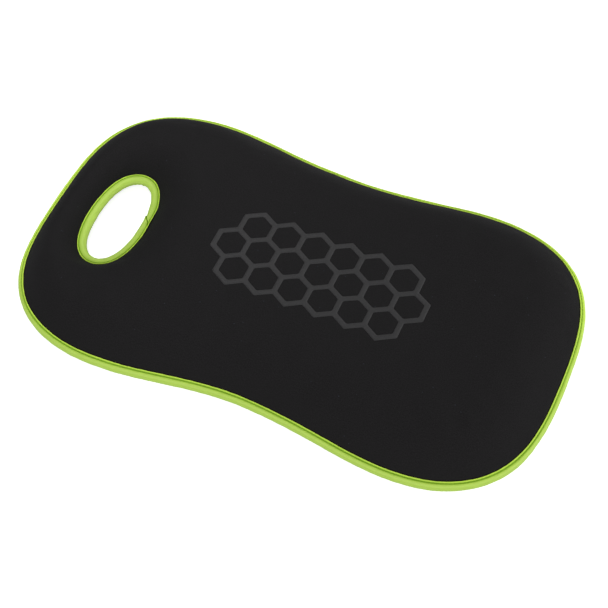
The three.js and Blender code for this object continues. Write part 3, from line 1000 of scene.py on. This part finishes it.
def filleted(corners, radius, step=0.5, straight_step=1.6):
    """A closed polygon with rounded corners and extra points on its long straights."""
    arcs = []
    count = len(corners)
    for i in range(count):
        before, corner, after = (np.array(corners[(i + k) % count], float) for k in (-1, 0, 1))
        back, ahead = unit(before - corner), unit(after - corner)
        half_angle = math.acos(np.clip(back @ ahead, -1, 1)) / 2
        cut = radius / math.tan(half_angle)
        centre = corner + unit(back + ahead) * radius / math.sin(half_angle)
        start, end = (corner + side * cut - centre for side in (back, ahead))
        first = math.atan2(start[1], start[0])
        swing = (math.atan2(end[1], end[0]) - first + math.pi) % TAU - math.pi
        steps = max(2, int(abs(swing) * radius / step) + 1)
        for k in range(steps + 1):
            angle = first + swing * k / steps
            arcs.append(tuple(centre + radius * np.array([math.cos(angle), math.sin(angle)])))
    dense = []
    for i, (x0, y0) in enumerate(arcs):
        x1, y1 = arcs[(i + 1) % len(arcs)]
        parts = max(1, int(math.dist((x0, y0), (x1, y1)) / straight_step))
        dense += [(x0 + (x1 - x0) * k / parts, y0 + (y1 - y0) * k / parts) for k in range(parts)]
    return dense


def lattice_outline(offset):
    """Outer line of the whole honeycomb, moved outwards."""
    edges = {}
    for x, y in CELLS:
        corners = [(round(cx, 2), round(cy, 2)) for cx, cy in hexagon(x, y, CELL)]
        for start, end in zip(corners, corners[1:] + corners[:1]):
            if (end, start) in edges:
                del edges[(end, start)]
            else:
                edges[(start, end)] = True
    follow = dict(edges.keys())
    loop = [next(iter(follow))]
    while follow[loop[-1]] != loop[0]:
        loop.append(follow[loop[-1]])
    moved = []
    for i, corner in enumerate(loop):
        corner = np.array(corner)
        arriving = unit(corner - np.array(loop[i - 1]))
        leaving = unit(np.array(loop[(i + 1) % len(loop)]) - corner)
        normal = np.array([arriving[1], -arriving[0]])
        middle = normal + np.array([leaving[1], -leaving[0]])
        moved.append(tuple(corner + middle / (middle @ normal) * offset))
    return moved


def print_film():
    loops = [filleted(lattice_outline(LINE / 2), OUTER_FILLET)]
    loops += [filleted(hexagon(x, y, CELL - LINE), CELL_FILLET) for x, y in CELLS]
    rim = np.concatenate(loops)
    columns = np.arange(PRINT_LO[0] - 2, PRINT_HI[0] + 2, FILM_GRID_X)
    rows = np.arange(PRINT_LO[1] - 2, PRINT_HI[1] + 2, FILM_GRID_Y)
    grid = np.array([[x + (FILM_GRID_X / 2 if k % 2 else 0), y] for k, y in enumerate(rows)
                     for x in columns])
    filling = thin(grid[between(loops, grid)], rim, gap=0.9)
    points, tris = triangulate(loops, filling)
    tris = tris[np.abs(double_areas(points, tris)) > 1e-3]
    ground = height_on(cover_tree, points)
    thickness = np.where(np.arange(len(points)) < len(rim), FILM_RIM, FILM_TOP)
    upper, lower = with_z(points, ground + thickness), with_z(points, ground + FILM_LOW)
    verts, faces = closed_shell(upper, lower, tris)
    obj = make_object("honeycomb_print_film", verts, faces)
    add_vector(obj, "weave", verts)
    return obj


film = print_film()


# ---------------------------------------------------------------- materials

class Shader:
    """Short-hand for a material's node tree."""

    def __init__(self, name):
        self.material = bpy.data.materials.new(name)
        self.material.use_nodes = True
        self.tree = self.material.node_tree
        self.tree.nodes.clear()
        self.output = self.new("OutputMaterial")

    def new(self, kind):
        return self.tree.nodes.new("ShaderNode" + kind)

    def set(self, node, key, value):
        if isinstance(value, bpy.types.NodeSocket):
            self.tree.links.new(value, node.inputs[key])
        else:
            node.inputs[key].default_value = value

    def math(self, operation, *values, clamp=False):
        node = self.new("Math")
        node.operation = operation
        node.use_clamp = clamp
        for i, value in enumerate(values):
            self.set(node, i, value)
        return node.outputs[0]

    def add(self, first, second):
        return self.math("ADD", first, second)

    def mul(self, first, second, clamp=False):
        return self.math("MULTIPLY", first, second, clamp=clamp)

    def mix(self, factor, first, second, blend="MIX"):
        node = self.new("Mix")
        node.data_type = "RGBA"
        node.blend_type = blend
        for key, value in ((0, factor), (6, first), (7, second)):
            self.set(node, key, value)
        return node.outputs[2]

    def toned(self, color, tone):
        return self.mix(1.0, color, self.join(tone, tone, tone), "MULTIPLY")

    def ramp(self, value, to, span=(0.3, 0.7)):
        """The value carried from one span to another; most noise fills the usual span."""
        node = self.new("MapRange")
        self.set(node, 0, value)
        for key, bound in enumerate((*span, *to), 1):
            node.inputs[key].default_value = bound
        return node.outputs[0]

    def attribute(self, name):
        node = self.new("Attribute")
        node.attribute_name = name
        return node.outputs["Vector"]

    def split(self, vector):
        node = self.new("SeparateXYZ")
        self.set(node, 0, vector)
        return node.outputs

    def join(self, x, y, z=0.0):
        node = self.new("CombineXYZ")
        for i, value in enumerate((x, y, z)):
            self.set(node, i, value)
        return node.outputs[0]

    def noise(self, vector, scale, detail=3.0, rough=0.55):
        node = self.new("TexNoise")
        values = {"Vector": vector, "Scale": scale, "Detail": detail, "Roughness": rough}
        for key, value in values.items():
            self.set(node, key, value)
        return node.outputs["Fac"]

    def voronoi(self, vector, scale):
        node = self.new("TexVoronoi")
        self.set(node, "Vector", vector)
        self.set(node, "Scale", scale)
        return node.outputs

    def bump(self, height, strength, distance, normal=None):
        node = self.new("Bump")
        node.inputs["Strength"].default_value = strength
        node.inputs["Distance"].default_value = distance
        self.set(node, "Height", height)
        if normal is not None:
            self.set(node, "Normal", normal)
        return node.outputs[0]

    def principled(self, **inputs):
        """The surface; underscores in the input names stand for spaces."""
        node = self.new("BsdfPrincipled")
        for key, value in inputs.items():
            self.set(node, key.replace("_", " "), value)
        self.tree.links.new(node.outputs[0], self.output.inputs[0])
        return self.material


def linear(rgb):
    """Linear colour from 8-bit sRGB."""
    share = np.array(rgb, float) / 255
    curve = np.where(share <= 0.04045, share / 12.92, ((share + 0.055) / 1.055) ** 2.4)
    return tuple(curve) + (1.0,)


# Linear colours.
COVER_COLOR, LINT_COLOR = (0.0124, 0.0119, 0.0124, 1), (0.035, 0.040, 0.052, 1)
PRINT_COLOR, BASE_COLOR = (0.0245, 0.0240, 0.0250, 1), (0.011, 0.011, 0.0115, 1)
# The tape's band colour is a painted sheen highlight.
TAPE_COLOR, TAPE_SHEEN_BAND_COLOR = (0.385, 0.575, 0.074, 1), (0.49, 0.645, 0.17, 1)
# The groove colour is painted shade and the lip colour is a painted highlight.
TAPE_GROOVE_SHADE_COLOR, TAPE_LIP_HIGHLIGHT_COLOR = (0.165, 0.345, 0.001, 1), (0.58, 0.83, 0.08, 1)
THREAD_COLOR = (0.18, 0.37, 0.008, 1)

# Texture sizes, mm.
WALE, COURSE = 0.62, 0.5          # the knit's loop width and row height
TAPE_WEAVE, TAPE_RIB = 1.05, 0.8
# Painted highlights: the two sheen bands along the tape's roll.
TAPE_SHEEN_BANDS, TAPE_SHEEN_BAND_WIDTH = ((6.0, 0.34), (9.4, 0.3)), 1.1   # (place across, strength)
PLY_PITCH = 0.9                   # of the thread
BASE_WEAVE = 1.5


def knit(mat, position):
    """Height of a plain knit: columns of small V loops."""
    x, y, _ = mat.split(position)
    wales = mat.math("DIVIDE", x, WALE)
    # 0 in the middle of a column, 0.5 between columns.
    column = mat.math("ABSOLUTE", mat.math("SUBTRACT", mat.math("FRACT", wales), 0.5))
    rows = mat.add(mat.math("DIVIDE", y, COURSE), mat.mul(column, 1.5))
    loop_wave = mat.math("MULTIPLY_ADD", mat.math("SINE", mat.mul(rows, TAU)), 0.5, 0.5)
    half_wale = mat.math("FRACT", mat.mul(wales, 2.0))
    ridge = mat.math("SINE", mat.mul(half_wale, math.pi))
    return mat.mul(loop_wave, ridge)


def cover_material():
    mat = Shader("cover_neoprene_knit")
    position = mat.attribute("weave")
    stitch = knit(mat, position)
    mottled = mat.noise(position, scale=0.055, detail=4, rough=0.6)
    fine = mat.noise(position, scale=0.55, detail=3, rough=0.6)
    fuzz = mat.noise(position, scale=3.2, detail=2, rough=0.7)
    tone = mat.add(mat.ramp(mottled, to=(0.98, 1.02)), mat.ramp(fine, to=(-0.05, 0.05)))
    tone = mat.mul(tone, mat.ramp(stitch, to=(0.82, 1.1), span=(0, 1)))
    # The knit's grain: hairs stand up in some loops and catch the light.
    grain = mat.noise(position, scale=1.1, detail=2, rough=0.75)
    tone = mat.mul(tone, mat.ramp(grain, to=(0.74, 1.34), span=(0.32, 0.70)))
    color = mat.mix(1.0, mat.join(tone, tone, tone), COVER_COLOR, "MULTIPLY")
    # Sparse lint: small spots in some of the cells.
    spots = mat.voronoi(position, scale=0.16)
    spot = mat.math("LESS_THAN", spots["Distance"], 0.06)
    chosen = mat.math("GREATER_THAN", mat.split(spots["Color"])[0], 0.7)
    lint = mat.mul(spot, chosen)
    color = mat.mix(mat.mul(lint, 0.75), color, LINT_COLOR)
    height = mat.add(mat.mul(stitch, 0.055), mat.mul(fuzz, 0.03))
    normal = mat.bump(height, strength=0.7, distance=0.001)
    swell = mat.noise(position, scale=0.09, detail=3, rough=0.5)
    normal = mat.bump(swell, strength=0.12, distance=0.0012, normal=normal)
    return mat.principled(
        Base_Color=color, Roughness=mat.ramp(fuzz, to=(0.72, 0.9), span=(0.2, 0.8)),
        Specular_IOR_Level=0.05, Sheen_Weight=0.008, Sheen_Roughness=0.5,
        Sheen_Tint=(0.9, 0.94, 1.0, 1), Normal=normal)


def tape_material():
    mat = Shader("binding_tape_weave")
    position = mat.attribute("weave")
    along, across, _ = mat.split(position)
    # The first channel is painted shade in the grooves. The second is a painted highlight on the
    # lips and the edge tape's +y side.
    groove_shade, lip, _ = mat.split(mat.attribute("groove_shade"))
    # Bias tape: a fine weave that runs at 45 degrees to the tape.
    warp = mat.mul(mat.add(along, across), TAU / TAPE_WEAVE)
    weft = mat.mul(mat.math("SUBTRACT", along, across), TAU / TAPE_WEAVE)
    weave = mat.mul(mat.math("SINE", warp), mat.math("SINE", weft))
    ribs = mat.math("SINE", mat.mul(across, TAU / TAPE_RIB))
    streaks = mat.join(mat.mul(along, 0.12), mat.mul(across, 0.6))
    cloudy = mat.noise(streaks, scale=1.0, detail=4, rough=0.6)
    fine = mat.noise(position, scale=1.9, detail=3, rough=0.6)
    tone = mat.add(mat.ramp(cloudy, to=(0.93, 1.05)), mat.ramp(fine, to=(-0.05, 0.05)))
    tone = mat.add(tone, mat.mul(weave, 0.03))
    color = mat.toned(TAPE_COLOR, tone)
    # Two painted highlight bands run along the roll, standing in for the tape's sheen.
    for centre, strength in TAPE_SHEEN_BANDS:
        away = mat.math("DIVIDE", mat.math("SUBTRACT", across, centre), TAPE_SHEEN_BAND_WIDTH)
        painted_highlight = mat.math("EXPONENT", mat.mul(mat.mul(away, away), -1.0))
        color = mat.mix(mat.mul(painted_highlight, strength), color, TAPE_SHEEN_BAND_COLOR)
    # Painted shade darkens the grooves and the hole tape's cut end. A painted highlight lightens the
    # lips and the edge tape's top along +y.
    color = mat.mix(mat.mul(groove_shade, 0.88, clamp=True), color, TAPE_GROOVE_SHADE_COLOR)
    color = mat.mix(mat.mul(lip, 0.9, clamp=True), color, TAPE_LIP_HIGHLIGHT_COLOR)
    height = mat.add(mat.mul(weave, 0.02), mat.add(mat.mul(ribs, 0.012), mat.mul(fine, 0.03)))
    normal = mat.bump(height, strength=0.8, distance=0.001)
    # No shine down in the groove; elsewhere the yarn's fuzz catches light at low angles.
    exposed = mat.math("SUBTRACT", 1.0, groove_shade, clamp=True)
    return mat.principled(
        Base_Color=color, Roughness=mat.ramp(fine, to=(0.52, 0.66), span=(0.2, 0.8)),
        Specular_IOR_Level=mat.mul(exposed, 0.16), Sheen_Weight=mat.mul(exposed, 0.28),
        Sheen_Roughness=0.3, Sheen_Tint=(0.75, 1.0, 0.34, 1), Normal=normal)


def thread_material():
    mat = Shader("sewing_thread_ply")
    position = mat.attribute("weave")
    along, around, _ = mat.split(position)
    turns = mat.add(mat.math("DIVIDE", along, PLY_PITCH), mat.mul(around, 2.0))
    ply = mat.math("SINE", mat.mul(turns, TAU))
    fine = mat.noise(position, scale=4.0, detail=2, rough=0.6)
    tone = mat.add(mat.ramp(ply, to=(0.75, 1.1), span=(-1, 1)), mat.ramp(fine, to=(-0.06, 0.06)))
    return mat.principled(
        Base_Color=mat.toned(THREAD_COLOR, tone), Roughness=0.6, Specular_IOR_Level=0.12,
        Sheen_Weight=0.02, Normal=mat.bump(ply, strength=0.6, distance=0.0001))


def base_material():
    mat = Shader("base_cloth_weave")
    position = mat.attribute("weave")
    x, y, _ = mat.split(position)
    weave = mat.mul(*(mat.math("SINE", mat.mul(way, TAU / BASE_WEAVE)) for way in (x, y)))
    cloudy = mat.noise(position, scale=0.05, detail=4, rough=0.6)
    fine = mat.noise(position, scale=1.2, detail=3, rough=0.6)
    tone = mat.add(mat.ramp(cloudy, to=(0.85, 1.15)), mat.mul(weave, 0.16))
    height = mat.add(mat.mul(weave, 0.08), mat.mul(fine, 0.04))
    return mat.principled(
        Base_Color=mat.toned(BASE_COLOR, tone),
        Roughness=mat.ramp(fine, to=(0.62, 0.85), span=(0.2, 0.8)), Specular_IOR_Level=0.25,
        Sheen_Weight=0.06, Normal=mat.bump(height, strength=0.8, distance=0.001))


def foam_material(name, rgb, cell, bump_depth):
    """Open foam; the cell is in mm and the bump depth in metres."""
    mat = Shader(name)
    position = mat.attribute("weave")
    pores = mat.voronoi(position, scale=1 / cell)["Distance"]
    cloudy = mat.noise(position, scale=0.03, detail=3, rough=0.5)
    tone = mat.mul(mat.ramp(pores, to=(0.82, 1.04), span=(0.1, 0.6)),
                   mat.ramp(cloudy, to=(0.95, 1.05)))
    return mat.principled(
        Base_Color=mat.toned(linear(rgb), tone), Roughness=0.95, Specular_IOR_Level=0.15,
        Normal=mat.bump(pores, strength=0.6, distance=bump_depth))


def print_material():
    mat = Shader("print_film_ink")
    position = mat.attribute("weave")
    stitch = knit(mat, position)
    worn = mat.noise(position, scale=0.35, detail=5, rough=0.65)
    fine = mat.noise(position, scale=1.6, detail=3, rough=0.6)
    tone = mat.add(mat.ramp(worn, to=(0.93, 1.06)), mat.ramp(fine, to=(-0.05, 0.05)))
    tone = mat.mul(tone, mat.ramp(stitch, to=(0.93, 1.03), span=(0, 1)))
    height = mat.add(mat.mul(stitch, 0.02), mat.mul(fine, 0.02))
    return mat.principled(
        Base_Color=mat.toned(PRINT_COLOR, tone), Roughness=mat.ramp(worn, to=(0.55, 0.68)),
        Specular_IOR_Level=0.22, Sheen_Weight=0.04,
        Normal=mat.bump(height, strength=0.6, distance=0.001))


tape_look, thread_look = tape_material(), thread_material()
comfort_look = {"rgb": (233, 228, 207), "cell": 0.7, "bump_depth": 0.0003}
base_foam_look = {"rgb": (92, 96, 100), "cell": 1.1, "bump_depth": 0.0004}
for obj, look, node, slot in (
    (cover, cover_material(), "top_cover", "cover_neoprene"),
    (base, base_material(), "base_cover", "base_fabric"),
    (comfort, foam_material("comfort_foam_cells", **comfort_look), "comfort_foam", "comfort_foam"),
    (base_foam, foam_material("base_foam_cells", **base_foam_look), "base_foam", "base_foam"),
    (edge_tape, tape_look, "edge_binding", "binding_tape"),
    (ring_tape, tape_look, "handle_binding", "binding_tape"),
    *((obj, thread_look, name + "_thread", "sewing_thread") for name, obj in threads.items()),
    (film, print_material(), "honeycomb_print", "print_film"),
):
    obj.data.materials.append(look)
    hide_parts(node)
    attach(obj, "root")

# ---------------------------------------------------------------- floor, light, camera; metres

FLOOR_HALF, FLOOR_Z = 6.0, -0.0002


def floor():
    mesh = bpy.data.meshes.new("floor")
    corners = [(x * FLOOR_HALF, y * FLOOR_HALF, FLOOR_Z)
               for x, y in ((-1, -1), (1, -1), (1, 1), (-1, 1))]
    mesh.from_pydata(corners, [], [(0, 1, 2, 3)])
    obj = bpy.data.objects.new("floor", mesh)
    bpy.context.scene.collection.objects.link(obj)
    mat = Shader("pale_floor")
    # It glows brighter to the camera than it does on the pad.
    seen = mat.new("LightPath").outputs["Is Camera Ray"]
    mesh.materials.append(mat.principled(
        Base_Color=(0.6, 0.6, 0.6, 1), Roughness=0.9, Specular_IOR_Level=0.1,
        Emission_Color=(1, 1, 1, 1), Emission_Strength=mat.ramp(seen, to=(0.1, 0.75), span=(0, 1))))


def softbox(name, location, target, size, power):
    light = bpy.data.lights.new(name, "AREA")
    light.shape = "RECTANGLE"
    light.size, light.size_y = size
    light.energy = power
    obj = bpy.data.objects.new(name, light)
    obj.location = location
    obj.rotation_mode = "QUATERNION"
    aim = Vector(target) - Vector(location)
    obj.rotation_quaternion = aim.to_track_quat("-Z", "Y")
    obj.visible_camera = False
    bpy.context.scene.collection.objects.link(obj)


def around(azimuth, elevation, distance=1.8):
    """Place round the pad; angles in degrees, azimuth counter-clockwise from +x."""
    turn, lift = math.radians(azimuth), math.radians(elevation)
    return (distance * math.cos(lift) * math.cos(turn),
            distance * math.cos(lift) * math.sin(turn), distance * math.sin(lift))


def add_camera():
    turn, lift = math.radians(24.06), math.radians(55.78)
    right = Vector((math.cos(turn), math.sin(turn), 0))
    up = Vector((-math.sin(turn) * math.sin(lift), math.cos(turn) * math.sin(lift),
                 math.cos(lift)))
    back = Vector((math.sin(turn) * math.cos(lift), -math.cos(turn) * math.cos(lift),
                   math.sin(lift)))
    data = bpy.data.cameras.new("camera")
    data.sensor_width = 36
    data.lens = 85.0855263
    data.clip_start, data.clip_end = 0.01, 50
    obj = bpy.data.objects.new("camera", data)
    bpy.context.scene.collection.objects.link(obj)
    target = Vector((plan.shift / 1000, 0, 0.001))
    place = right * -0.0013 + up * -0.0082 + back * 1.164 + target
    axes = Matrix((right, up, back)).transposed().to_4x4()
    obj.matrix_world = Matrix.Translation(place) @ axes
    bpy.context.scene.camera = obj


floor()
world = bpy.data.worlds.new("studio")
bpy.context.scene.world = world
world.use_nodes = True
background = world.node_tree.nodes["Background"]
background.inputs["Color"].default_value = (1, 1, 1, 1)
background.inputs["Strength"].default_value = 0.35

for name, azimuth, elevation, power in (
    ("right_softbox", 0, 18, 10.0),
    ("back_right_softbox", 45, 18, 11.4),
    ("front_low_softbox", 270, 18, 8.5),
    ("front_high_softbox", 275, 45, 10.5),
):
    softbox(name, around(azimuth, elevation), target=(0, 0, 0.01), size=(1.0, 0.8), power=power)
softbox("far_left_softbox", (-0.3, 0.14, 0.4), target=(-0.24, 0.11, 0), size=(0.34, 0.3),
        power=0.95)
softbox("far_softbox", (0.05, 0.3, 0.4), target=(0.04, 0.24, 0), size=(0.3, 0.3), power=0.23)
bpy.context.scene.view_settings.view_transform = "Standard"
add_camera()
